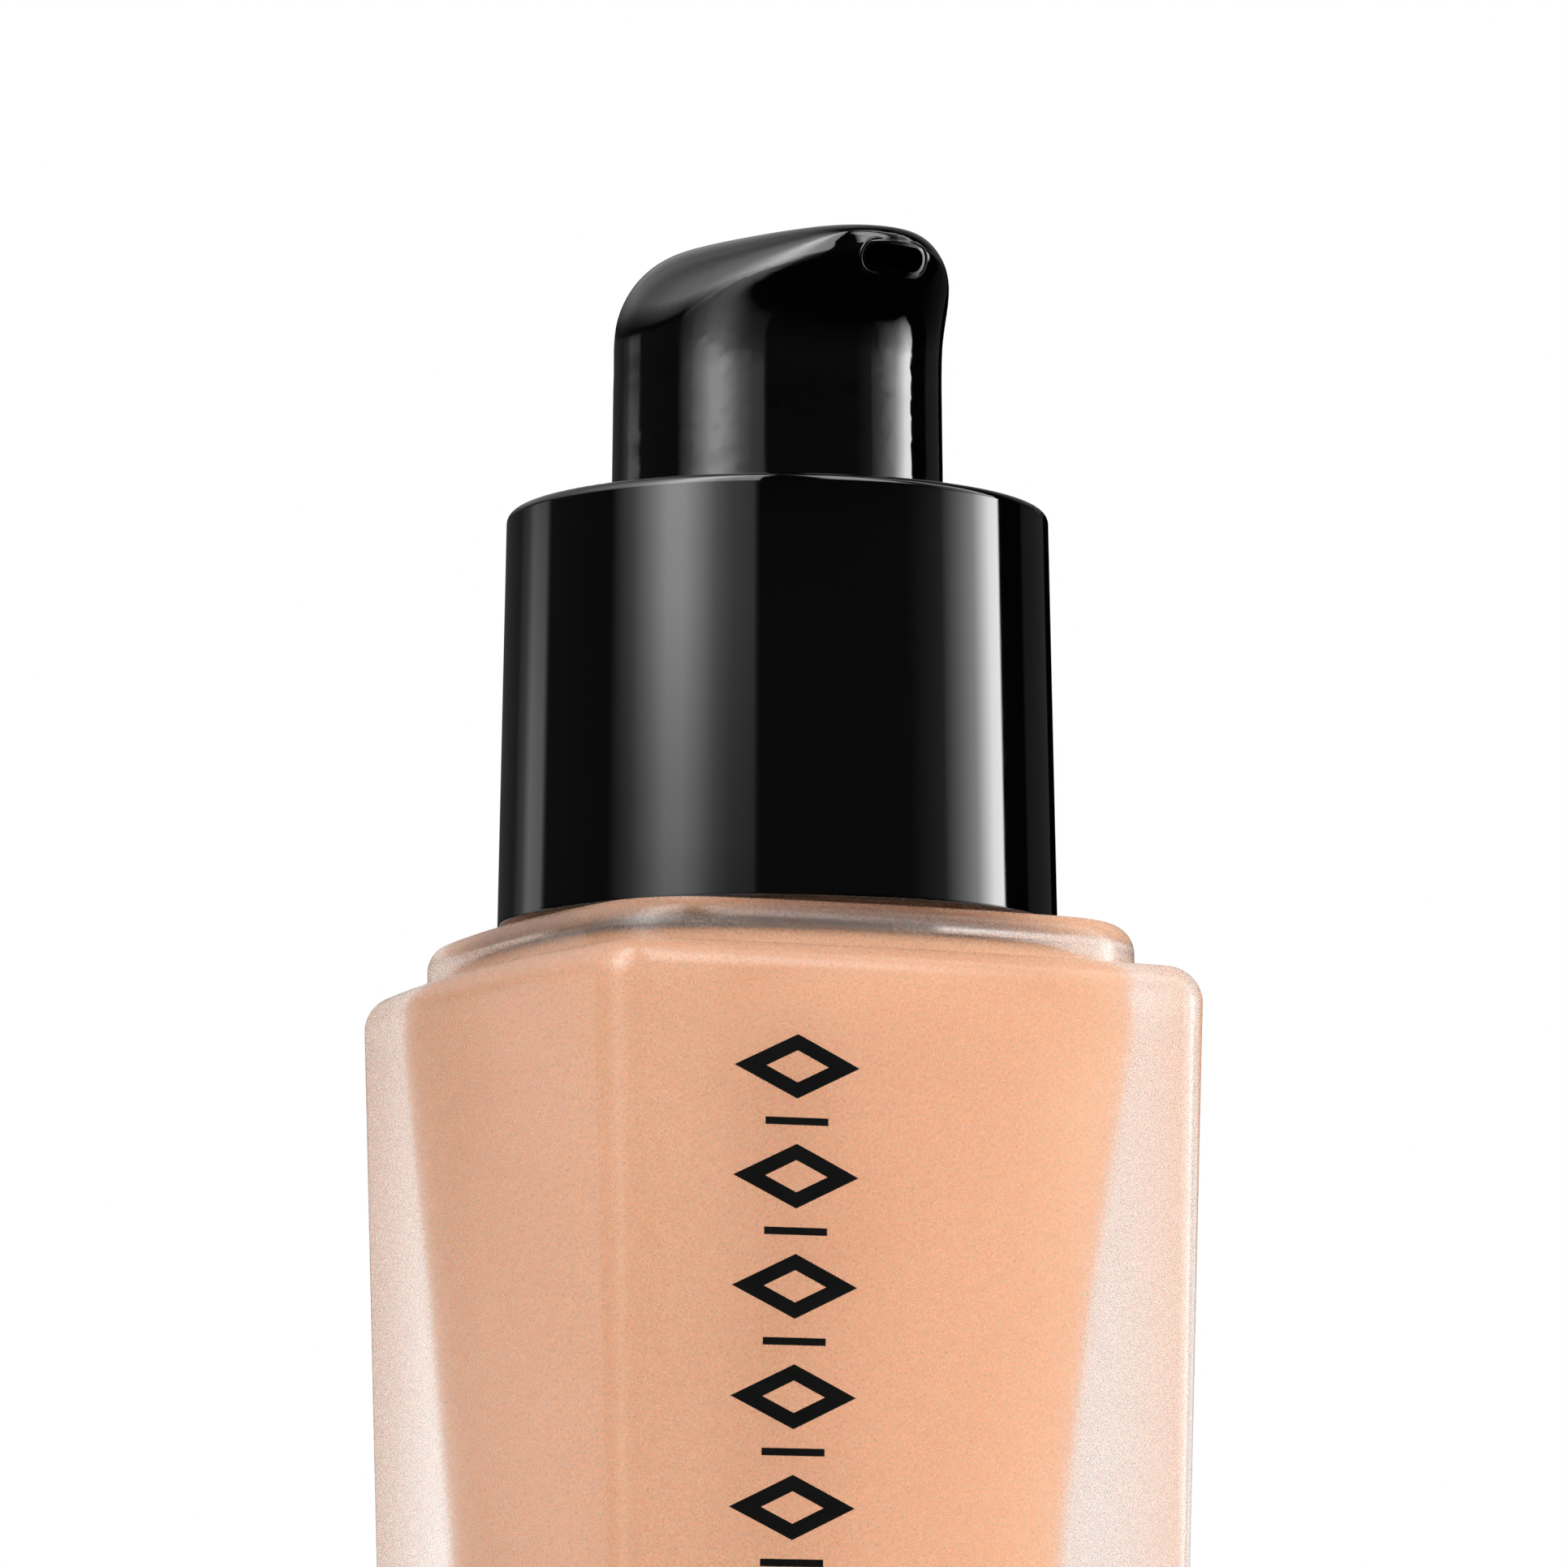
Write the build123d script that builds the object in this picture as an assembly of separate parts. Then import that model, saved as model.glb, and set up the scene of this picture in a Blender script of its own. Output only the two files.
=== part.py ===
from build123d import *
import os
from math import atan2, cos, exp, log, pi, radians, sin, sqrt, tan

# Foundation bottle with a treatment pump. Millimetres, +Z up.
# Origin: centre of the base, on the surface the bottle stands on. The front face looks along -Y.
# The bottle is thick frosted glass, square in plan with slightly bowed sides, and tapers toward its base.
# A plinth carries the round collar. Inside the collar a screw closure clamps the pump on the neck.

# ---- Driving dimensions: glass ----
BODY_WIDTH = 33.85         # across the flats of the shoulder, at full height
BODY_SIDE_R = 93.0         # radius of the bowed sides
BODY_CORNER_R = 2.4
BODY_TAPER = radians(1.66)
SHOULDER_Z = 70.0
SHOULDER_FILLET = 1.75
HEEL_FILLET = 1.4
PLINTH_WIDTH = 29.75
PLINTH_SIDE_R = 74.0
PLINTH_CORNER_R = 5.8
PLINTH_HEIGHT = 2.25
PLINTH_FILLET = 1.4
CAVITY_FLOOR_Z = 6.0
CAVITY_TOP_Z = 71.0
CAVITY_WIDTHS = (22.0, 22.2, 25.0, 30.4)    # across the flats, from the floor up
CAVITY_LEVELS = (CAVITY_FLOOR_Z, 43.0, 55.0, CAVITY_TOP_Z)
CAVITY_SIDE_R = 20.0
CAVITY_CORNER_R = 10.0
CAVITY_TOP_FILLET = 4.4
CAVITY_FLOOR_FILLET = 3.5
FILL_LEVEL_Z = 70.7
WELL_GAP = 0.4             # clear space in the fill round the pump
RECESS_R = 10.4
RECESS_DEPTH = 0.8

# ---- Driving dimensions: neck and thread ----
NECK_R = 8.0
NECK_BORE_R = 5.6
NECK_HEIGHT = 9.4
NECK_LIP_FILLET = 0.5
THREAD_PITCH = 3.175
THREAD_TURNS = 1.25
THREAD_CREST_R = 8.85
THREAD_ROOT_HALF = 0.75    # half width of a ridge where it leaves its wall
THREAD_CREST_HALF = 0.4
THREAD_START = 3.6         # first turn's centre, above the plinth
THREAD_SINK = 0.3          # how far a ridge's section reaches into its own wall

# ---- Driving dimensions: closure and collar ----
CLOSURE_BORE_R = 9.05
CLOSURE_OUTER_R = 10.3
CLOSURE_RIDGE_R = 8.2
CLOSURE_FOOT_GAP = 1.0     # skirt's lower end above the plinth
CLOSURE_WEB = 1.2
CLOSURE_RIBS = 12
CLOSURE_RIB_WIDTH = 1.0
COLLAR_FOOT_GAP = 0.2
COLLAR_HEIGHT = 20.4
COLLAR_BASE_R = 13.6
COLLAR_TOP_R = 13.22
COLLAR_BORE_R = 12.2
COLLAR_TOP_FILLET = 0.45
COLLAR_FOOT_FILLET = 0.25
COLLAR_ROOF = 1.2
COLLAR_MOUTH_R = 8.4
COLLAR_DECK = 1.0
COLLAR_DECK_R = 9.2

# ---- Driving dimensions: pump ----
GASKET_THICKNESS = 0.8
GASKET_BORE_R = 4.95
FLANGE_THICKNESS = 1.0
FLANGE_R = 7.9
HOUSING_R = 4.9
HOUSING_BORE_R = 4.0
HOUSING_TAIL_R = 2.9
HOUSING_SHOULDER_Z = 60.0
HOUSING_TAIL_TOP_Z = 57.5
HOUSING_FOOT_Z = 51.0
VENT_R = 0.3
TUBE_R = 1.8
TUBE_BORE_R = 1.2
TUBE_FLOOR_GAP = 1.6
TUBE_CUT = 35.0            # degrees, the slant of the tube's lower end
BALL_R = 1.5
BALL_LIFT = 0.8
BALL_CHAMBER_R = 1.95
BALL_PORT_R = 0.9
BALL_PORT_LENGTH = 1.05
BALL_SEAT_GAP = 0.02
LUG_R = 1.1
LUG_THICKNESS = 0.7
TURRET_R = 6.0
TURRET_HEIGHT = 3.0
TURRET_PLUG = 3.6
TURRET_FILLET = 0.5
STEM_R = 2.1
STEM_BORE_R = 1.3
STEM_HOLE_R = 2.18
STEM_FOOT_Z = 74.2
STEM_TOP_Z = 97.5
STEM_PORT_R = 0.55
VALVE_FLANGE_R = 3.3
VALVE_FLANGE = 0.8
VALVE_SHANK = 3.2
PISTON_R = 3.4
PISTON_LIP_R = 3.96
PISTON_LIP = 0.6
PISTON_BORE_R = 2.16
PISTON_HEIGHT = 5.0
SPRING_MEAN_R = 2.9
SPRING_WIRE_R = 0.25
SPRING_TURNS = 7

# ---- Driving dimensions: head ----
HEAD_R = 8.1               # where it enters the collar
HEAD_DRAFT = 0.011         # radius lost per millimetre of height
HEAD_SKIRT_DROP = 3.0      # skirt's lower end, below the collar's top
HEAD_TOP_Z = 105.75
HEAD_TURN = 9.1            # degrees, outlet direction, from the front face toward +X
BEAK_REACH = 10.35
BEAK_NOSE_R = 5.5
BEAK_START_Z = 98.3
BEAK_FULL_Z = 104.5
BEAK_BLEND = 1.6           # sharpness of the blend between skirt and beak
ROUND_BACK = 4.0           # rounding of the top edge behind, inward
ROUND_DROP = 4.4           # and downward
ROUND_NOSE = 1.0           # and both ways over the outlet
ROUND_HOLD = 2             # how far forward the large rounding lasts
HEAD_WALL = 1.1
OUTLET_Z = 104.1
OUTLET_WIDTH = 3.7
OUTLET_HEIGHT = 1.55
OUTLET_RIM = 0.2
OUTLET_DEPTH = 3.0
HEAD_POINTS = 36           # points on each section of the head
HEAD_SIDE_STEPS = 14
HEAD_EDGE_STEPS = 7
SOCKET_R = 3.2
SOCKET_DEPTH = 5.5
CORE_DISC_Z = 99.4
CORE_DISC = 1.2
CORE_ARM_WALL = 0.5        # round the channel of the head's insert
CORE_GAP = 0.05            # between the head's insert and the shell's inner wall

# ---- Driving dimensions: print and label ----
PRINT_THICKNESS = 0.05
PRINT_CENTRE_X = -6.7      # left of the middle of the front face
PRINT_TOP_Z = 66.6
PRINT_WIDTH = 6.2
PRINT_PITCH = 5.1
PRINT_COUNT = 9
LABEL_R = 9.4
LABEL_THICKNESS = 0.12

# ---- Heights that follow ----
PLINTH_Z = SHOULDER_Z + PLINTH_HEIGHT
RIM_Z = PLINTH_Z + NECK_HEIGHT
FLANGE_Z = RIM_Z + GASKET_THICKNESS
FLANGE_TOP_Z = FLANGE_Z + FLANGE_THICKNESS
WEB_Z = FLANGE_TOP_Z + 0.05
WEB_TOP_Z = WEB_Z + CLOSURE_WEB
COLLAR_Z = PLINTH_Z + COLLAR_FOOT_GAP
COLLAR_TOP_Z = COLLAR_Z + COLLAR_HEIGHT
SKIRT_Z = COLLAR_TOP_Z - HEAD_SKIRT_DROP
SEAT_Z = HOUSING_TAIL_TOP_Z + BALL_PORT_LENGTH
BALL_Z = SEAT_Z - BALL_PORT_R + BALL_R * sqrt(2) + BALL_SEAT_GAP
LUG_Z = BALL_Z + BALL_LIFT + sqrt(BALL_R**2 - LUG_R**2) + 0.05
SPRING_SEAT_Z = LUG_Z + LUG_THICKNESS
VALVE_Z = STEM_FOOT_Z - VALVE_FLANGE
PISTON_Z = STEM_FOOT_Z + 0.1
TUBE_FOOT_Z = CAVITY_FLOOR_Z + TUBE_FLOOR_GAP
CHANNEL_WIDTH = OUTLET_WIDTH - 2 * OUTLET_RIM
CHANNEL_HEIGHT = OUTLET_HEIGHT - 2 * OUTLET_RIM
PLUG_Z = FLANGE_TOP_Z - TURRET_PLUG

ON_FLOOR = (Align.CENTER, Align.CENTER, Align.MIN)


def polar(x, y, radius, angle):
    return Vector(x + radius * cos(angle), y + radius * sin(angle))


def disc(radius, z0, z1):
    """A solid cylinder about Z from z0 up to z1."""
    return Pos(0, 0, z0) * Cylinder(radius, z1 - z0, align=ON_FLOOR)


def block(length, width, height):
    """A box centred on X and Y that stands on the level plane."""
    return Box(length, width, height, align=ON_FLOOR)


def ring(outer_r, inner_r, z0, z1):
    return disc(outer_r, z0, z1) - disc(inner_r, z0 - 1, z1 + 1)


def cone(r0, r1, z0, z1):
    """A solid cone about Z, of radius r0 at z0 and r1 at z1."""
    return Pos(0, 0, z0) * Cone(r0, r1, z1 - z0, align=ON_FLOOR)


def edges_at(solid, z):
    """Edges that lie wholly in the level plane at height z."""
    boxes = [(edge, edge.bounding_box()) for edge in solid.edges()]
    return [edge for edge, box in boxes if abs(box.min.Z - z) < 0.01 and abs(box.max.Z - z) < 0.01]


def soft_square(width, side_r, corner_r, z, inset=0.0):
    """Square face with bowed sides and round corners: eight tangent arcs, set in by inset."""
    centre = width / 2 - side_r
    reach = side_r - corner_r
    corner = (centre + sqrt(2 * reach**2 - centre**2)) / 2
    join = atan2(corner, corner - centre)
    side_points = [polar(centre, 0, side_r - inset, a) for a in (-join, 0, join)]
    corner_points = [polar(corner, corner, corner_r - inset, a) for a in (join, pi / 4, pi / 2 - join)]
    edges = []
    for quarter in range(4):
        for points in (side_points, corner_points):
            turned = [p.rotate(Axis.Z, 90 * quarter) for p in points]
            edges.append(ThreePointArc(*turned))
    return Pos(0, 0, z) * Face(Wire(edges))


# ---- Glass ----
def body_blank(grow=0.0):
    """Tapered outside of the bottle's body, grown outward by grow, with its edges still sharp."""
    base_inset = SHOULDER_Z * tan(BODY_TAPER)
    base = soft_square(BODY_WIDTH, BODY_SIDE_R, BODY_CORNER_R, 0, base_inset - grow)
    top = soft_square(BODY_WIDTH, BODY_SIDE_R, BODY_CORNER_R, SHOULDER_Z, -grow)
    return loft([base, top], ruled=True)


def cavity_form():
    """Space inside the glass, below the neck's bore."""
    levels = zip(CAVITY_WIDTHS, CAVITY_LEVELS)
    sections = [soft_square(width, CAVITY_SIDE_R, CAVITY_CORNER_R, z) for width, z in levels]
    space = loft(sections, ruled=True)
    space = fillet(edges_at(space, CAVITY_TOP_Z), CAVITY_TOP_FILLET)
    return fillet(edges_at(space, CAVITY_FLOOR_Z), CAVITY_FLOOR_FILLET)


def thread_ridge(wall_r, crest_r, start_z):
    """Right-hand helical ridge that stands on a wall of radius wall_r and reaches crest_r."""
    helix = Helix(THREAD_PITCH, THREAD_PITCH * THREAD_TURNS, wall_r, center=(0, 0, start_z))
    outward = 1 if crest_r > wall_r else -1
    rise = abs(crest_r - wall_r)
    half_gain = (THREAD_ROOT_HALF - THREAD_CREST_HALF) * THREAD_SINK / rise
    start = Plane(origin=helix @ 0, x_dir=(outward, 0, 0), z_dir=helix % 0)
    section = Polyline(
        (-THREAD_SINK, -THREAD_ROOT_HALF - half_gain),
        (rise, -THREAD_CREST_HALF),
        (rise, THREAD_CREST_HALF),
        (-THREAD_SINK, THREAD_ROOT_HALF + half_gain),
        close=True,
    )
    return sweep(start * make_face(section), path=helix, is_frenet=True)


def glass_bottle():
    body = body_blank()
    body = fillet(edges_at(body, SHOULDER_Z), SHOULDER_FILLET)
    body = fillet(edges_at(body, 0), HEEL_FILLET)
    plinth_face = soft_square(PLINTH_WIDTH, PLINTH_SIDE_R, PLINTH_CORNER_R, SHOULDER_Z - 1)
    plinth = extrude(plinth_face, PLINTH_HEIGHT + 1)
    plinth = fillet(edges_at(plinth, PLINTH_Z), PLINTH_FILLET)
    neck = disc(NECK_R, SHOULDER_Z, RIM_Z)
    neck = fillet(edges_at(neck, RIM_Z), NECK_LIP_FILLET)
    glass = body + plinth + neck + thread_ridge(NECK_R, THREAD_CREST_R, PLINTH_Z + THREAD_START)
    glass -= cavity_form()
    glass -= disc(NECK_BORE_R, CAVITY_TOP_Z - 1, RIM_Z + 1)
    return glass - disc(RECESS_R, -1, RECESS_DEPTH)


def foundation_fill():
    """The liquid, with a clear well round the pump's housing and tube."""
    liquid = cavity_form() - Pos(0, 0, FILL_LEVEL_Z) * block(BODY_WIDTH, BODY_WIDTH, NECK_HEIGHT)
    liquid -= disc(HOUSING_R + WELL_GAP, HOUSING_TAIL_TOP_Z - WELL_GAP, PLINTH_Z)
    liquid -= disc(HOUSING_TAIL_R + WELL_GAP, HOUSING_FOOT_Z - WELL_GAP, PLINTH_Z)
    return liquid - disc(TUBE_R + WELL_GAP, TUBE_FOOT_Z - WELL_GAP, PLINTH_Z)


def printed_motif():
    """A column of lozenges and bars, printed on the front face as one thin film."""
    film = body_blank(PRINT_THICKNESS) - body_blank()
    front = Plane(origin=(0, 0, 0), x_dir=(1, 0, 0), z_dir=(0, -1, 0))
    outline = Sketch()
    for i in range(PRINT_COUNT):
        z = PRINT_TOP_Z - PRINT_PITCH * (i + 0.5)
        lozenge = Polygon((-PRINT_WIDTH / 2, 0), (0, -1.5), (PRINT_WIDTH / 2, 0), (0, 1.5))
        hole = Polygon((-PRINT_WIDTH / 4, 0), (0, -0.75), (PRINT_WIDTH / 4, 0), (0, 0.75))
        outline += Pos(PRINT_CENTRE_X, z) * (lozenge - hole)
        outline += Pos(PRINT_CENTRE_X, z - PRINT_PITCH / 2) * Rectangle(PRINT_WIDTH / 2, 0.35)
    return film & extrude(front * outline, BODY_WIDTH)


def base_label():
    return disc(LABEL_R, RECESS_DEPTH - LABEL_THICKNESS, RECESS_DEPTH)


# ---- Closure and collar ----
def inner_closure():
    foot_z = PLINTH_Z + CLOSURE_FOOT_GAP
    closure = ring(CLOSURE_OUTER_R, CLOSURE_BORE_R, foot_z, WEB_Z)
    closure += ring(COLLAR_BORE_R, TURRET_R + 0.08, WEB_Z, WEB_TOP_Z)
    root = CLOSURE_OUTER_R - 0.2
    reach = COLLAR_BORE_R - 0.1
    middle = (root + reach) / 2
    rib = block(reach - root, CLOSURE_RIB_WIDTH, WEB_Z - foot_z - 1)
    for i in range(CLOSURE_RIBS):
        closure += Rot(0, 0, 360 * i / CLOSURE_RIBS) * Pos(middle, 0, foot_z + 1) * rib
    start_z = PLINTH_Z + THREAD_START - THREAD_PITCH / 2
    return closure + thread_ridge(CLOSURE_BORE_R, CLOSURE_RIDGE_R, start_z)


def outer_collar():
    collar = cone(COLLAR_BASE_R, COLLAR_TOP_R, COLLAR_Z, COLLAR_TOP_Z)
    collar = fillet(edges_at(collar, COLLAR_TOP_Z), COLLAR_TOP_FILLET)
    collar = fillet(edges_at(collar, COLLAR_Z), COLLAR_FOOT_FILLET)
    collar -= disc(COLLAR_BORE_R, COLLAR_Z - 1, COLLAR_TOP_Z - COLLAR_ROOF)
    collar -= disc(COLLAR_MOUTH_R, COLLAR_Z, COLLAR_TOP_Z + 1)
    return collar + ring(COLLAR_BORE_R + 0.2, COLLAR_DECK_R, WEB_TOP_Z, WEB_TOP_Z + COLLAR_DECK)


# ---- Pump ----
def neck_gasket():
    return ring(FLANGE_R, GASKET_BORE_R, RIM_Z, FLANGE_Z)


def pump_housing():
    """Flange, bore, ball chamber with its retaining lugs, conical seat and tube socket."""
    housing = disc(FLANGE_R, FLANGE_Z, FLANGE_TOP_Z)
    housing += disc(HOUSING_R, HOUSING_SHOULDER_Z, FLANGE_Z)
    housing += cone(HOUSING_TAIL_R, HOUSING_R, HOUSING_TAIL_TOP_Z, HOUSING_SHOULDER_Z)
    housing += disc(HOUSING_TAIL_R, HOUSING_FOOT_Z, HOUSING_TAIL_TOP_Z)
    housing -= disc(HOUSING_BORE_R, SPRING_SEAT_Z, FLANGE_TOP_Z + 1)
    housing -= disc(TUBE_R, HOUSING_FOOT_Z - 1, HOUSING_TAIL_TOP_Z)
    housing -= disc(BALL_PORT_R, HOUSING_TAIL_TOP_Z - 1, SEAT_Z)
    seat_rise = BALL_CHAMBER_R - BALL_PORT_R
    housing -= cone(BALL_PORT_R, BALL_CHAMBER_R, SEAT_Z, SEAT_Z + seat_rise)
    housing -= disc(BALL_CHAMBER_R, SEAT_Z + seat_rise, LUG_Z)
    housing -= disc(LUG_R, LUG_Z - 1, SPRING_SEAT_Z + 1)
    for i in range(3):
        slot = Pos(BALL_CHAMBER_R / 2, 0, LUG_Z) * Box(BALL_CHAMBER_R, 1.0, 2 * LUG_THICKNESS + 0.4)
        housing -= Rot(0, 0, 120 * i) * slot
    vent = Pos(0, 0, PLUG_Z - VENT_R) * Rot(0, 90, 0) * Cylinder(VENT_R, HOUSING_R + 1, align=ON_FLOOR)
    return housing - vent


def turret():
    """Cap of the housing that guides the stem and stops the piston at the top."""
    cap = disc(TURRET_R, FLANGE_TOP_Z, FLANGE_TOP_Z + TURRET_HEIGHT)
    cap = fillet(edges_at(cap, FLANGE_TOP_Z + TURRET_HEIGHT), TURRET_FILLET)
    cap += disc(HOUSING_BORE_R, PLUG_Z, FLANGE_TOP_Z)
    return cap - disc(STEM_HOLE_R, SPRING_SEAT_Z, HEAD_TOP_Z)


def dip_tube():
    tube = ring(TUBE_R, TUBE_BORE_R, TUBE_FOOT_Z, HOUSING_TAIL_TOP_Z)
    slant_rise = TUBE_R * tan(radians(TUBE_CUT))
    blade = Pos(0, 0, -HOUSING_R) * block(2 * HOUSING_R, 2 * HOUSING_R, HOUSING_R)
    return tube - Pos(0, 0, TUBE_FOOT_Z + slant_rise) * Rot(0, TUBE_CUT, 0) * blade


def return_spring():
    low = SPRING_SEAT_Z + SPRING_WIRE_R
    height = VALVE_Z - SPRING_WIRE_R - low
    coil = Helix(height / SPRING_TURNS, height, SPRING_MEAN_R, center=(0, 0, low))
    start = Plane(origin=coil @ 0, x_dir=(1, 0, 0), z_dir=coil % 0)
    return sweep(start * Circle(SPRING_WIRE_R), path=coil, is_frenet=True)


def check_ball():
    return Pos(0, 0, BALL_Z) * Sphere(BALL_R)


def piston():
    top_z = PISTON_Z + PISTON_HEIGHT
    plug = disc(PISTON_R, PISTON_Z, top_z)
    plug += cone(PISTON_LIP_R, PISTON_R, PISTON_Z, PISTON_Z + 2 * PISTON_LIP)
    plug += cone(PISTON_R, PISTON_LIP_R, top_z - 2 * PISTON_LIP, top_z)
    return plug - disc(PISTON_BORE_R, PISTON_Z - 1, top_z + 1)


def stem():
    tube = ring(STEM_R, STEM_BORE_R, STEM_FOOT_Z, STEM_TOP_Z)
    port = Rot(0, 90, 0) * Cylinder(STEM_PORT_R, 3 * STEM_R)
    return tube - Pos(0, 0, STEM_FOOT_Z + 1.0) * port


def valve_core():
    """Foot of the stem: the spring pushes on its flange, and liquid climbs past its flats."""
    core = disc(VALVE_FLANGE_R, VALVE_Z, STEM_FOOT_Z)
    shank = disc(STEM_BORE_R, STEM_FOOT_Z, STEM_FOOT_Z + VALVE_SHANK)
    for side in (-1, 1):
        shank -= Pos(side * STEM_BORE_R, 0, STEM_FOOT_Z + VALVE_SHANK / 2) * Box(1.0, 4, VALVE_SHANK + 1)
    return core + shank


# ---- Head ----
def beak_outline(z, angle):
    """Skirt's circle blended with the beak's nose: support, swing and the nose's share of them."""
    grow = min(max((z - BEAK_START_Z) / (BEAK_FULL_Z - BEAK_START_Z), 0), 1)
    reach = (BEAK_REACH - BEAK_NOSE_R) * grow * grow * (3 - 2 * grow)
    skirt_r = HEAD_R - HEAD_DRAFT * (z - COLLAR_TOP_Z)
    nose = BEAK_NOSE_R + reach * cos(angle)
    share = 1 / (1 + exp(BEAK_BLEND * (skirt_r - nose)))
    return nose - log(share) / BEAK_BLEND, -share * reach * sin(angle), share


def head_section(inset, bottom_z, top_z, climb, rise=0.0):
    """Closed outline of the head, set in by inset.

    Climb runs from 0 at bottom_z to 1 where the side ends. Rise then runs from 0 to 1 over the
    rounded top edge, which is large behind and small over the outlet.
    """
    points = []
    for i in range(HEAD_POINTS):
        angle = 2 * pi * i / HEAD_POINTS
        front = beak_outline(BEAK_FULL_Z, angle)[2] * ((1 + cos(angle)) / 2) ** ROUND_HOLD
        inward = ROUND_BACK + (ROUND_NOSE - ROUND_BACK) * front
        drop = ROUND_DROP + (ROUND_NOSE - ROUND_DROP) * front
        level = bottom_z + climb * (top_z - drop - bottom_z) + rise * drop
        support, swing, _ = beak_outline(level, angle)
        support -= inset + inward * (1 - sqrt(1 - rise * rise))
        x = support * cos(angle) - swing * sin(angle)
        y = support * sin(angle) + swing * cos(angle)
        points.append(Vector(x, y, level))
    return points


def head_form(inset, bottom_z, top_z):
    """Solid of the head's outside, set in by inset: a skirt that grows a beak, with a rounded top."""
    steps = HEAD_SIDE_STEPS
    sections = [head_section(inset, bottom_z, top_z, i / steps) for i in range(steps)]
    steps = HEAD_EDGE_STEPS
    sections += [head_section(inset, bottom_z, top_z, 1, sin(pi / 2 * i / steps)) for i in range(steps)]
    sections.append(head_section(inset, bottom_z, top_z, 1, 1))
    wires = [Wire(Edge.make_spline(points, periodic=True)) for points in sections]
    return Rot(0, 0, HEAD_TURN - 90) * Solid.make_loft(wires)


def outlet_prism(width, height, start, length):
    """Slot-shaped prism along the outlet's channel."""
    across = Plane(origin=(start, 0, OUTLET_Z), x_dir=(0, 1, 0), z_dir=(1, 0, 0))
    return Rot(0, 0, HEAD_TURN - 90) * extrude(across * SlotOverall(width, height), length)


def actuator_shell():
    hollow = head_form(HEAD_WALL, SKIRT_Z - 1, HEAD_TOP_Z - HEAD_WALL)
    shell = head_form(0, SKIRT_Z, HEAD_TOP_Z) - hollow
    return shell - outlet_prism(OUTLET_WIDTH, OUTLET_HEIGHT, BEAK_REACH / 2, BEAK_REACH)


def outlet_insert():
    """Slotted mouthpiece, pushed in through the shell's window and flush with the beak."""
    start = BEAK_REACH - OUTLET_DEPTH
    insert = outlet_prism(OUTLET_WIDTH, OUTLET_HEIGHT, start, OUTLET_DEPTH + 2)
    insert &= head_form(0, SKIRT_Z, HEAD_TOP_Z)
    return insert - outlet_prism(CHANNEL_WIDTH, CHANNEL_HEIGHT, start - 1, OUTLET_DEPTH + 4)


def actuator_core():
    """Stem socket and channel of the head, located in the shell by a disc."""
    socket_z = STEM_TOP_Z - SOCKET_DEPTH
    arm = BEAK_REACH - OUTLET_DEPTH
    core = disc(SOCKET_R, socket_z, HEAD_TOP_Z)
    core += disc(HEAD_R, CORE_DISC_Z, CORE_DISC_Z + CORE_DISC)
    core += outlet_prism(CHANNEL_WIDTH + 2 * CORE_ARM_WALL, CHANNEL_HEIGHT + 2 * CORE_ARM_WALL, 0, arm)
    core &= head_form(HEAD_WALL + CORE_GAP, socket_z - 1, HEAD_TOP_Z - HEAD_WALL - CORE_GAP)
    core -= outlet_prism(CHANNEL_WIDTH, CHANNEL_HEIGHT, 0, arm + 1)
    core -= disc(STEM_BORE_R, STEM_TOP_Z - 1, OUTLET_Z)
    return core - disc(STEM_R, socket_z - 1, STEM_TOP_Z)


PARTS = {
    "glass_bottle": glass_bottle,
    "foundation_fill": foundation_fill,
    "printed_motif": printed_motif,
    "base_label": base_label,
    "neck_gasket": neck_gasket,
    "pump_housing": pump_housing,
    "turret": turret,
    "dip_tube": dip_tube,
    "return_spring": return_spring,
    "check_ball": check_ball,
    "piston": piston,
    "stem": stem,
    "valve_core": valve_core,
    "actuator_core": actuator_core,
    "actuator_shell": actuator_shell,
    "outlet_insert": outlet_insert,
    "inner_closure": inner_closure,
    "outer_collar": outer_collar,
}

os.makedirs("parts", exist_ok=True)
for node, make in PARTS.items():
    solid = make()
    export_step(solid, f"parts/{node}.step")
    print(f"{node:16s} {solid.volume:10.2f} mm3")
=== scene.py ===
import math

import bmesh
import bpy
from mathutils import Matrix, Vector
from mathutils.bvhtree import BVHTree


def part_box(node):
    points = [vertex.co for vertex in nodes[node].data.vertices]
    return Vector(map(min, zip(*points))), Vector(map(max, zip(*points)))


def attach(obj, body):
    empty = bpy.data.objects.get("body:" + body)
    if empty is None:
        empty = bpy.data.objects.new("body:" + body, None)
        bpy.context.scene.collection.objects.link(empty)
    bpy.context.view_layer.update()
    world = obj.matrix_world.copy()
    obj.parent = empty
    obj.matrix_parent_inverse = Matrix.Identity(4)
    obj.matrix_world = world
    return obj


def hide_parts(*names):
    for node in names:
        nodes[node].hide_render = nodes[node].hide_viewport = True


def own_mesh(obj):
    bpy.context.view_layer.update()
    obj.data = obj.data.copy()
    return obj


# Looks for the foundation bottle: frosted glass, peach liquid, piano-black pump parts, print.
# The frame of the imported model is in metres. Pieces made here are worked out in millimetres.

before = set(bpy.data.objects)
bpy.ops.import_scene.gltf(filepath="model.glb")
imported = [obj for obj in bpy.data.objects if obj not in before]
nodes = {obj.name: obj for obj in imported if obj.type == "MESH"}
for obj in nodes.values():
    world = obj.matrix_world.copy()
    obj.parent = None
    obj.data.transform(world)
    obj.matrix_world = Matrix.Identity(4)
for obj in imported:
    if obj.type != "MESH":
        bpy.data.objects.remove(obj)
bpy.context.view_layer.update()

MM = 0.001
UP = Vector((0, 0, 1))

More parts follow.
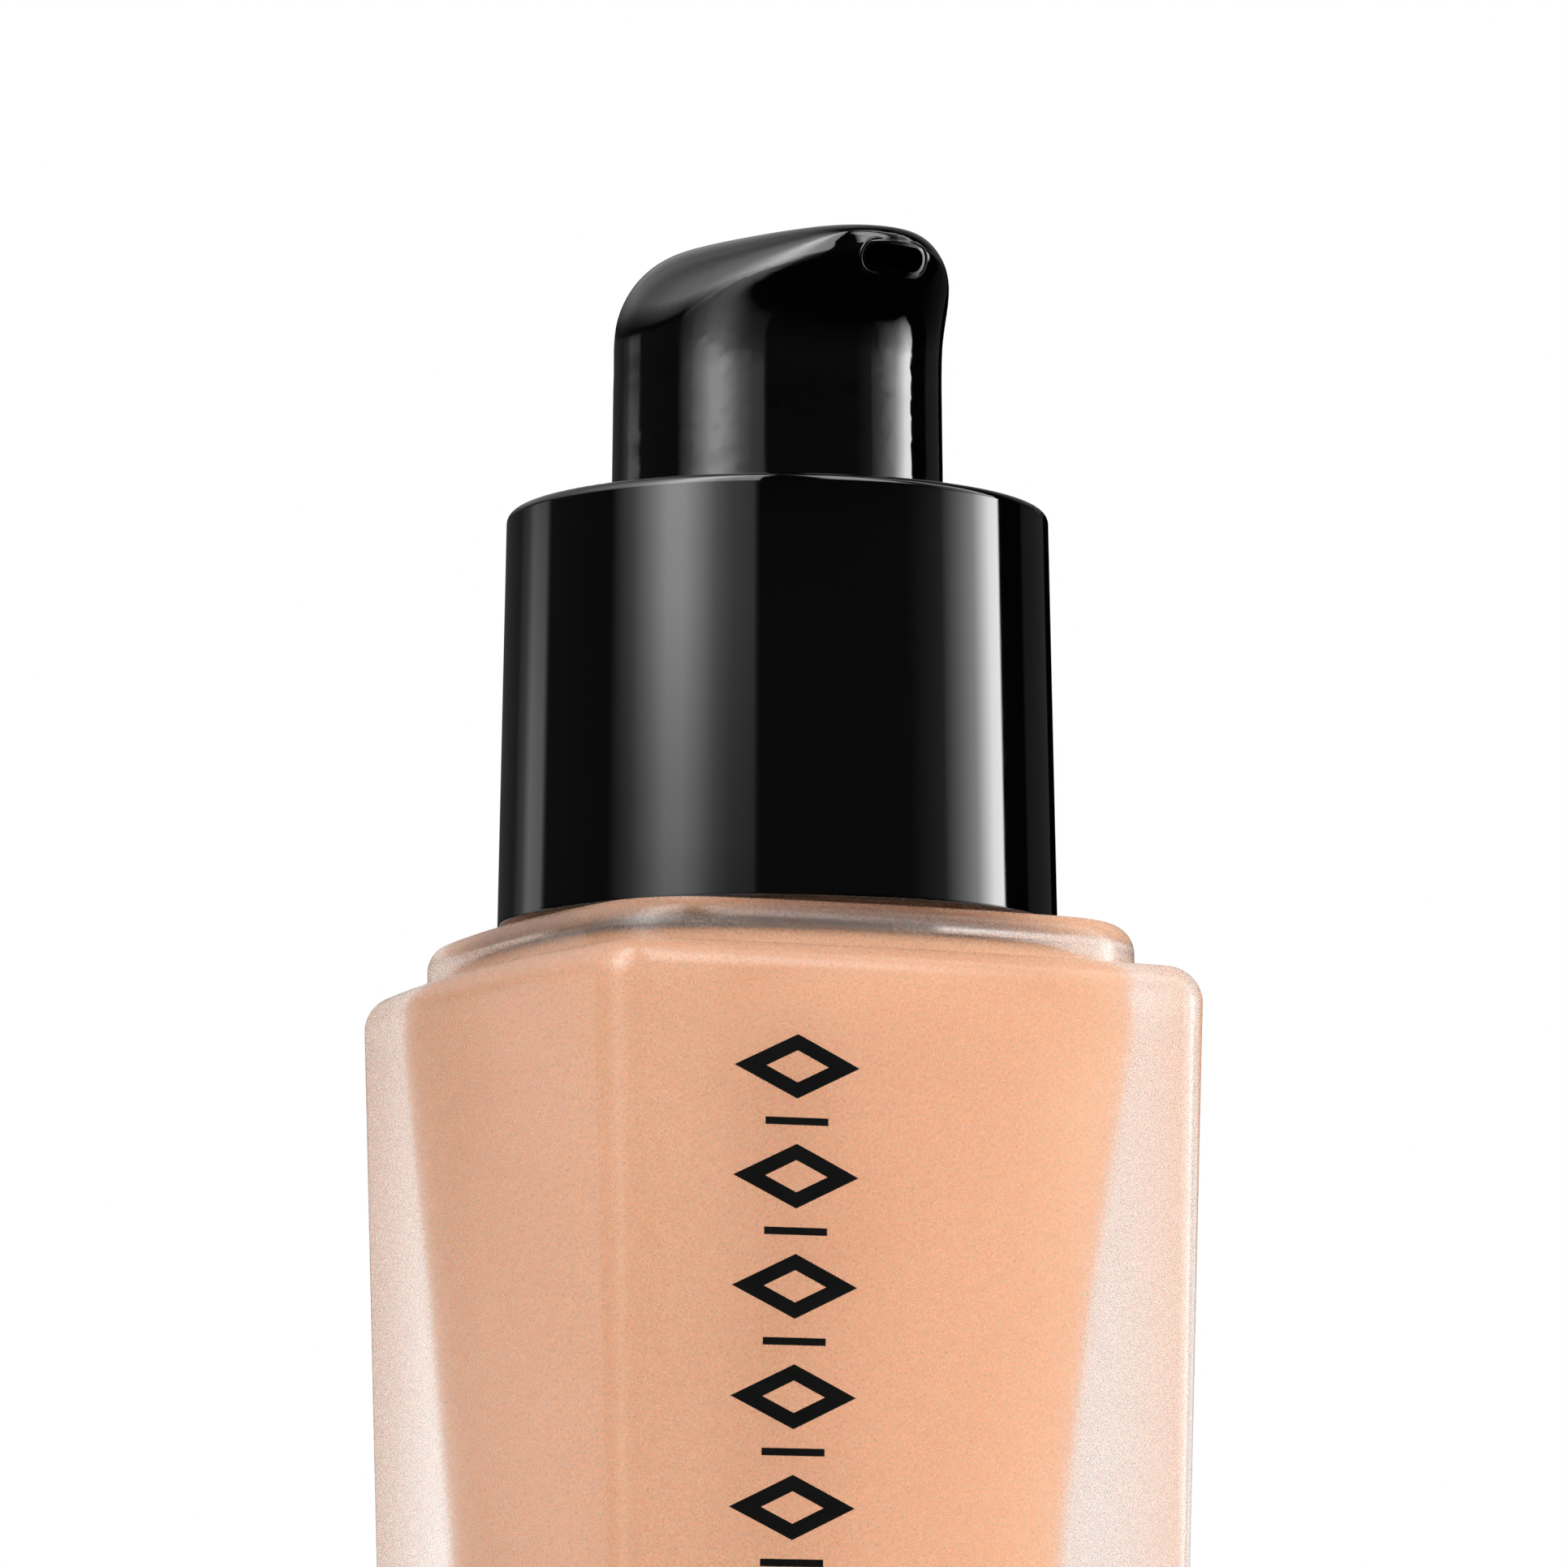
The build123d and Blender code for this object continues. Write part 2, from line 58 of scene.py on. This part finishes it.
# Camera, from the front face toward +X and slightly from below. Distances are in metres.
CAMERA_TURN = math.radians(25.1)      # round the bottle, from the front face
CAMERA_DISTANCE = 0.4201
CAMERA_HEIGHT = 0.02279
CAMERA_PITCH = math.radians(7.716)    # looks up
CAMERA_YAW = math.radians(0.044)      # looks a little past the axis
LENS = 200.0
SENSOR_WIDTH = 36.0
NEAREST_SEEN = 0.01
FLOOR_SIZE = 6.0

# The liquid's outside: soft squares from the floor up, a little into the glass that it wets
FILL_LEVELS = (5.94, 43.0, 55.0, 71.06)
FILL_WIDTHS = (22.12, 22.32, 25.12, 30.54)
FILL_SIDE_R = 20.06
FILL_CORNER_R = 10.06
FILL_TOP_FILLET = 3.8
FILL_FLOOR_FILLET = 3.4
FILLET_RINGS = 10         # rings round each fillet
ARC_STEPS = 14            # points along each side and each corner
# The clear well in it, round the pump: (radius, height), from the top down
WELL = ((5.3, 71.06), (5.3, 57.1), (3.3, 57.1), (3.3, 50.6), (2.2, 50.6), (2.2, 7.2))

# Return spring
SPRING_MEAN_R = 2.9
SPRING_WIRE_R = 0.25
SPRING_TURNS = 7
SPRING_TURN_STEPS = 32

# Bead round the outlet's slot
SLOT_HALF_WIDTH = 1.8
SLOT_HALF_HEIGHT = 0.72
SLOT_Z = 104.1
BEAD_R = 0.1
BEAD_SINK = 0.03
BEAD_STEPS = 48
HEAD_TURN = math.radians(9.1)   # the outlet, from the front face toward +X
AHEAD_OF_HEAD = 30.0            # clear of the head, to look back at it

TUBE_SIDES = 12           # sides of the spring's wire and of the bead

# Light. A bearing is in degrees round the bottle from the camera's side, and a rise is in degrees
# above the horizon. Each softbox is (bearing, brightness) stops times (rise, brightness) stops.
# Only mirrored rays see the softboxes.
EDGE_BOX = (
    ((-140, 0.0), (-131, 0.02), (-125, 0.08), (-115, 0.08), (-112, 0.0)),
    ((0, 1.0), (9, 1.0), (11, 0.5), (11.5, 0.0)),
)
LEFT_BOX = (
    ((-74, 0.0), (-63, 0.12), (-55, 0.34), (-47, 0.62), (-40, 0.63),
     (-33, 0.42), (-26, 0.19), (-19, 0.1), (-9, 0.07), (-8.3, 0.0)),
    ((-18, 0.0), (-8, 0.15), (5, 0.25), (9.2, 0.35), (11.3, 0.8), (60, 1.0), (78, 0.6)),
)
RIGHT_BOX = (
    ((57, 0.005), (73, 0.025), (82, 0.16), (91, 0.33), (101, 0.94), (107, 0.94),
     (108, 0.0), (126, 0.0), (127, 0.005), (155, 0.005), (156, 0.0)),
    ((-30, 0.0), (0, 0.6), (8, 1.0), (11.2, 1.0), (12, 0.4), (50, 0.3)),
)
BACK_GLOW = (
    ((-180, 0.04), (-145, 0.04), (-125, 0.0), (125, 0.0), (160, 0.02), (180, 0.04)),
    ((13, 0.0), (24, 1.0), (60, 1.0), (80, 0.0)),
)
TOP_BOX = (
    ((20, 0.0), (30, 0.5), (60, 0.5), (72, 0.0)),
    ((32, 0.0), (44, 1.0), (72, 1.0), (84, 0.0)),
)
DOME_BOX = (
    ((-150, 0.0), (-110, 0.08), (-60, 0.3), (-8, 0.3), (-7, 0.0)),
    ((14, 0.0), (26, 1.0), (75, 1.0), (88, 0.3)),
)
SOFTBOXES = (EDGE_BOX, LEFT_BOX, DOME_BOX, RIGHT_BOX, BACK_GLOW, TOP_BOX)
SOFTBOX_STRENGTH = 12.0
# The sweep lights everything else. The camera sees it plain white.
SWEEP = (
    ((-180, 0.78), (-150, 0.76), (-120, 0.38), (-90, 0.2), (-40, 0.34), (0, 0.64),
     (40, 0.9), (90, 0.92), (130, 0.86), (180, 0.78)),
    ((10, 0.75), (45, 1.0)),
)
SWEEP_STRENGTH = 2.0


# ---- Node helpers ----
def new_material(name):
    """Empty material: its node tree and its Principled shader, joined to the output."""
    material = bpy.data.materials.new(name)
    material.use_nodes = True
    tree = material.node_tree
    return material, tree, tree.nodes["Principled BSDF"]


def set_inputs(node, **values):
    for key, value in values.items():
        node.inputs[key.replace("_", " ")].default_value = value


def noise(tree, scale, detail=3.0, roughness=0.5):
    """Noise in object space; scale is in features per metre."""
    coordinates = tree.nodes.new("ShaderNodeTexCoord")
    texture = tree.nodes.new("ShaderNodeTexNoise")
    set_inputs(texture, Scale=scale, Detail=detail, Roughness=roughness)
    tree.links.new(coordinates.outputs["Object"], texture.inputs["Vector"])
    return texture.outputs["Fac"]


def ramp(tree, factor, stops):
    """Colour ramp over factor: stops are (position, colour or grey value)."""
    node = tree.nodes.new("ShaderNodeValToRGB")
    elements = node.color_ramp.elements
    while len(elements) < len(stops):
        elements.new(0.5)
    for element, (position, value) in zip(elements, stops):
        element.position = position
        element.color = (*value, 1.0) if isinstance(value, tuple) else (value, value, value, 1.0)
    tree.links.new(factor, node.inputs["Fac"])
    return node.outputs["Color"]


def vary(tree, shader, socket, pattern, low, high):
    """The pattern's dark and light parts take this socket of the shader from low to high."""
    tree.links.new(ramp(tree, pattern, [(0.3, low), (0.7, high)]), shader.inputs[socket])


def bump(tree, shader, height, strength, distance):
    node = tree.nodes.new("ShaderNodeBump")
    set_inputs(node, Strength=strength, Distance=distance)
    tree.links.new(height, node.inputs["Height"])
    tree.links.new(node.outputs["Normal"], shader.inputs["Normal"])


def math_node(tree, operation, *values):
    node = tree.nodes.new("ShaderNodeMath")
    node.operation = operation
    for socket, value in zip(node.inputs, values):
        if isinstance(value, (int, float)):
            socket.default_value = value
        else:
            tree.links.new(value, socket)
    return node.outputs[0]


def product(tree, first, second):
    return math_node(tree, "MULTIPLY", first, second)


def total(tree, first, second):
    return math_node(tree, "ADD", first, second)


# ---- Materials ----
def glossy_black(name):
    """Polished black: faint waves and a slight haze, so that its reflections aren't perfect."""
    material, tree, shader = new_material(name)
    vary(tree, shader, "Base Color", noise(tree, 60.0), (0.0004, 0.0004, 0.0005), (0.0008, 0.0008, 0.001))
    haze = ramp(tree, noise(tree, 900.0, 5.0), [(0.35, 0.035), (0.75, 0.0525)])
    tree.links.new(haze, shader.inputs["Roughness"])
    bump(tree, shader, noise(tree, 140.0, 1.0), 0.02, 0.0002)
    set_inputs(shader, IOR=1.5)
    return material


def moulded_plastic(name, colour, roughness, translucency=0.0):
    """Plain moulded plastic: faint colour drift, and the fine skin of a moulding."""
    material, tree, shader = new_material(name)
    darker = tuple(c * 0.9 for c in colour)
    vary(tree, shader, "Base Color", noise(tree, 180.0, 4.0), darker, colour)
    vary(tree, shader, "Roughness", noise(tree, 2500.0, 3.0), roughness * 0.85, roughness * 1.15)
    bump(tree, shader, noise(tree, 5000.0, 2.0), 0.15, 0.00003)
    set_inputs(shader, Subsurface_Weight=translucency, Subsurface_Scale=0.0015)
    return material


def bare_steel(name, roughness):
    material, tree, shader = new_material(name)
    vary(tree, shader, "Base Color", noise(tree, 3000.0), (0.52, 0.52, 0.53), (0.66, 0.66, 0.67))
    vary(tree, shader, "Roughness", noise(tree, 6000.0), roughness * 0.8, roughness * 1.3)
    set_inputs(shader, Metallic=1.0)
    return material


def frosted_glass(name):
    """Acid-frosted glass: rough, with a fine grain, and hazier where light leaves it."""
    material, tree, shader = new_material(name)
    set_inputs(shader, Base_Color=(0.985, 0.98, 0.975, 1.0), IOR=1.5, Transmission_Weight=1.0)
    grain = noise(tree, 9000.0, 2.0, 0.6)
    haze = ramp(tree, grain, [(0.3, 0.23), (0.7, 0.3)])
    inside = tree.nodes.new("ShaderNodeNewGeometry").outputs["Backfacing"]
    tree.links.new(total(tree, haze, product(tree, inside, 0.4)), shader.inputs["Roughness"])
    bump(tree, shader, grain, 0.1, 0.00001)
    return material


def foundation_liquid(name):
    """Opaque peach liquid, wet against the glass."""
    material, tree, shader = new_material(name)
    vary(tree, shader, "Base Color", noise(tree, 90.0, 2.0), (0.83, 0.47, 0.29), (0.86, 0.50, 0.32))
    set_inputs(shader, Roughness=0.5, Subsurface_Weight=0.2, Subsurface_Scale=0.002, Specular_IOR_Level=0.1)
    return material


def printed_ink(name):
    material, tree, shader = new_material(name)
    vary(tree, shader, "Base Color", noise(tree, 700.0), (0.001, 0.001, 0.001), (0.003, 0.003, 0.003))
    bump(tree, shader, noise(tree, 9000.0), 0.2, 0.00001)
    set_inputs(shader, Roughness=0.32)
    return material


def dress(material, *names):
    """Gives these CAD nodes this material in each of their slots."""
    for name in names:
        for slot in nodes[name].material_slots:
            slot.material = material


def dress_nodes():
    """Finishes for the CAD nodes, and the pieces made here in the same materials."""
    black = glossy_black("piano_black")
    dress(black, "outer_collar", "actuator_shell", "outlet_insert")
    outlet_bead(black)
    dull_black = moulded_plastic("black_polypropylene", (0.02, 0.02, 0.021), 0.4)
    dress(dull_black, "actuator_core", "inner_closure")
    white = moulded_plastic("white_polypropylene", (0.86, 0.86, 0.84), 0.32, 0.3)
    dress(white, "pump_housing", "turret", "stem")
    natural = moulded_plastic("natural_polyethylene", (0.78, 0.78, 0.74), 0.42, 0.4)
    dress(natural, "piston", "valve_core", "dip_tube", "neck_gasket")
    coil_spring(bare_steel("stainless_wire", 0.25))
    dress(bare_steel("stainless_ball", 0.08), "check_ball")
    dress(moulded_plastic("label_film", (0.8, 0.79, 0.77), 0.35), "base_label")
    dress(printed_ink("black_ink"), "printed_motif")
    dress(frosted_glass("frosted_glass"), "glass_bottle")
    liquid(foundation_liquid("foundation_liquid"))


# ---- Pieces made here ----
def object_from_rings(name, rings, closed, material):
    """Mesh object from rings of equal length: capped at both ends, or closed on itself."""
    form = bmesh.new()
    rows = [[form.verts.new(Vector(point) * MM) for point in ring] for ring in rings]
    count = len(rows[0])
    pairs = list(zip(rows, rows[1:]))
    if closed:
        pairs.append((rows[-1], rows[0]))
    for low_row, high_row in pairs:
        for i in range(count):
            j = (i + 1) % count
            form.faces.new((low_row[i], low_row[j], high_row[j], high_row[i]))
    if not closed:
        form.faces.new(rows[0][::-1])
        form.faces.new(rows[-1])
    bmesh.ops.recalc_face_normals(form, faces=form.faces)
    for face in form.faces:
        face.smooth = True
    mesh = bpy.data.meshes.new(name)
    form.to_mesh(mesh)
    form.free()
    mesh.materials.append(material)
    piece = bpy.data.objects.new(name, mesh)
    bpy.context.collection.objects.link(piece)
    return piece


def tube_ring(centre, first, second, radius):
    """Circle of points round centre, in the plane of the unit vectors first and second."""
    angles = [2 * math.pi * k / TUBE_SIDES for k in range(TUBE_SIDES)]
    return [centre + (first * math.cos(angle) + second * math.sin(angle)) * radius for angle in angles]


def soft_square(width, inset):
    """Plan outline of the liquid: four bowed sides and four round corners, set in by inset."""
    centre = width / 2 - FILL_SIDE_R
    reach = FILL_SIDE_R - FILL_CORNER_R
    corner = (centre + math.sqrt(2 * reach**2 - centre**2)) / 2
    join = math.atan2(corner, corner - centre)
    points = []
    for quarter in range(4):
        cosine = math.cos(quarter * math.pi / 2)
        sine = math.sin(quarter * math.pi / 2)
        for middle, radius, start, end in (
            ((centre, 0), FILL_SIDE_R - inset, -join, join),
            ((corner, corner), FILL_CORNER_R - inset, join, math.pi / 2 - join),
        ):
            for i in range(ARC_STEPS):
                angle = start + (end - start) * i / ARC_STEPS
                x = middle[0] + radius * math.cos(angle)
                y = middle[1] + radius * math.sin(angle)
                points.append((x * cosine - y * sine, x * sine + y * cosine))
    return points


def fill_ring(z, inset):
    """Outline of the liquid at height z, set in by inset."""
    upper = next(i for i in range(1, len(FILL_LEVELS)) if z <= FILL_LEVELS[i])
    share = (z - FILL_LEVELS[upper - 1]) / (FILL_LEVELS[upper] - FILL_LEVELS[upper - 1])
    width = FILL_WIDTHS[upper - 1] + (FILL_WIDTHS[upper] - FILL_WIDTHS[upper - 1]) * share
    return [(x, y, z) for x, y in soft_square(width, inset)]


def liquid(material):
    """The foundation: fills the glass with no gap, and keeps a clear well round the pump."""
    quarter = [math.pi / 2 * i / FILLET_RINGS for i in range(FILLET_RINGS + 1)]
    rings = []
    for angle in quarter:
        z = FILL_LEVELS[0] + FILL_FLOOR_FILLET * (1 - math.cos(angle))
        rings.append(fill_ring(z, FILL_FLOOR_FILLET * (1 - math.sin(angle))))
    for z in FILL_LEVELS[1:-1]:
        rings.append(fill_ring(z, 0.0))
    for angle in quarter:
        z = FILL_LEVELS[-1] - FILL_TOP_FILLET * (1 - math.sin(angle))
        rings.append(fill_ring(z, FILL_TOP_FILLET * (1 - math.cos(angle))))
    bearings = [math.atan2(y, x) for x, y, _ in rings[-1]]
    for radius, z in WELL:
        rings.append([(radius * math.cos(a), radius * math.sin(a), z) for a in bearings])
    piece = object_from_rings("foundation_liquid", rings, False, material)
    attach(piece, "bottle")
    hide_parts("foundation_fill")


def coil_spring(material):
    """Return spring: a coil of wire that fills the CAD spring's box."""
    low, high = (Vector(corner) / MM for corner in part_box("return_spring"))
    foot = low.z + SPRING_WIRE_R
    climb = high.z - SPRING_WIRE_R - foot
    rings = []
    steps = SPRING_TURNS * SPRING_TURN_STEPS
    for i in range(steps + 1):
        angle = 2 * math.pi * SPRING_TURNS * i / steps
        outward = Vector((math.cos(angle), math.sin(angle), 0))
        centre = outward * SPRING_MEAN_R + UP * (foot + climb * i / steps)
        rings.append(tube_ring(centre, outward, UP, SPRING_WIRE_R))
    piece = object_from_rings("return_spring_wire", rings, False, material)
    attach(piece, "engine")
    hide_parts("return_spring")
    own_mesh(piece)


def outlet_bead(material):
    """Thin rounded lip where the mouthpiece meets the beak: it follows the beak's surface."""
    surface = BVHTree.FromObject(nodes["actuator_shell"], bpy.context.evaluated_depsgraph_get())
    ahead = Vector((math.sin(HEAD_TURN), -math.cos(HEAD_TURN), 0))
    across = Vector((math.cos(HEAD_TURN), math.sin(HEAD_TURN), 0))
    straight = SLOT_HALF_WIDTH - SLOT_HALF_HEIGHT
    reach = SLOT_HALF_HEIGHT + BEAD_R
    path = []
    for i in range(BEAD_STEPS):
        angle = 2 * math.pi * i / BEAD_STEPS
        side = math.copysign(straight, math.cos(angle)) + reach * math.cos(angle)
        height = SLOT_Z + reach * math.sin(angle)
        start = (across * side + UP * height + ahead * AHEAD_OF_HEAD) * MM
        hit = surface.ray_cast(start, -ahead)[0]
        path.append(hit / MM - ahead * BEAD_SINK)
    rings = []
    for i, point in enumerate(path):
        along = (path[(i + 1) % BEAD_STEPS] - path[i - 1]).normalized()
        outward = along.cross(ahead).normalized()
        rings.append(tube_ring(point, ahead, outward, BEAD_R))
    piece = object_from_rings("outlet_bead", rings, True, material)
    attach(piece, "head")


# ---- Set: floor, camera, light ----
def pale_floor():
    bpy.ops.mesh.primitive_plane_add(size=FLOOR_SIZE, location=(0, 0, 0))
    floor = bpy.context.object
    floor.name = "floor"
    material, tree, shader = new_material("pale_floor")
    vary(tree, shader, "Base Color", noise(tree, 4.0), 0.86, 0.9)
    set_inputs(shader, Roughness=0.6)
    floor.data.materials.append(material)
    floor.visible_glossy = False


def camera():
    data = bpy.data.cameras.new("camera")
    data.lens = LENS
    data.sensor_width = SENSOR_WIDTH
    data.clip_start = NEAREST_SEEN
    eye = bpy.data.objects.new("camera", data)
    x = -CAMERA_DISTANCE * math.sin(CAMERA_TURN)
    y = -CAMERA_DISTANCE * math.cos(CAMERA_TURN)
    eye.location = (x, y, CAMERA_HEIGHT)
    eye.rotation_euler = (math.pi / 2 + CAMERA_PITCH, 0, -CAMERA_TURN - CAMERA_YAW)
    bpy.context.collection.objects.link(eye)
    bpy.context.scene.camera = eye


def sky_directions(tree):
    """Bearing and rise of a ray's direction, each as a share of its whole range."""
    coordinates = tree.nodes.new("ShaderNodeTexCoord")
    split = tree.nodes.new("ShaderNodeSeparateXYZ")
    tree.links.new(coordinates.outputs["Generated"], split.inputs[0])
    east, north, up = split.outputs
    bearing = math_node(tree, "ARCTAN2", east, product(tree, north, -1.0))
    turns = math_node(tree, "DIVIDE", total(tree, bearing, CAMERA_TURN), 2 * math.pi)
    half_turns = math_node(tree, "DIVIDE", math_node(tree, "ARCSINE", up), math.pi)
    return math_node(tree, "FRACT", total(tree, turns, 0.5)), total(tree, half_turns, 0.5)


def panel(tree, directions, stops):
    """Brightness by direction: the ramp over bearing times the ramp over rise."""
    bearing, rise = directions
    by_bearing = ramp(tree, bearing, [(degrees / 360 + 0.5, value) for degrees, value in stops[0]])
    by_rise = ramp(tree, rise, [(degrees / 180 + 0.5, value) for degrees, value in stops[1]])
    return product(tree, by_bearing, by_rise)


def studio():
    """White sweep for the camera and through glass, and softboxes by direction for reflections."""
    world = bpy.data.worlds.new("studio")
    bpy.context.scene.world = world
    world.use_nodes = True
    tree = world.node_tree
    tree.nodes.clear()
    directions = sky_directions(tree)
    paths = tree.nodes.new("ShaderNodeLightPath")

    reflected = 0.0
    for stops in SOFTBOXES:
        reflected = total(tree, reflected, panel(tree, directions, stops))
    shine = tree.nodes.new("ShaderNodeBackground")
    set_inputs(shine, Strength=SOFTBOX_STRENGTH)
    tree.links.new(reflected, shine.inputs["Color"])

    seen = paths.outputs["Is Camera Ray"]
    unseen = math_node(tree, "SUBTRACT", 1.0, seen)
    around = product(tree, panel(tree, directions, SWEEP), SWEEP_STRENGTH)
    sweep = tree.nodes.new("ShaderNodeBackground")
    set_inputs(sweep, Color=(1.0, 1.0, 1.0, 1.0))
    tree.links.new(total(tree, seen, product(tree, unseen, around)), sweep.inputs["Strength"])

    # A ray that goes through rough glass counts as glossy too, so it is taken off
    through = paths.outputs["Is Transmission Ray"]
    mirrored = math_node(tree, "SUBTRACT", paths.outputs["Is Glossy Ray"], through)
    mix = tree.nodes.new("ShaderNodeMixShader")
    tree.links.new(math_node(tree, "MAXIMUM", mirrored, 0.0), mix.inputs[0])
    tree.links.new(sweep.outputs[0], mix.inputs[1])
    tree.links.new(shine.outputs[0], mix.inputs[2])
    output = tree.nodes.new("ShaderNodeOutputWorld")
    tree.links.new(mix.outputs[0], output.inputs["Surface"])


dress_nodes()
pale_floor()
camera()
studio()
bpy.context.scene.view_settings.view_transform = "Standard"
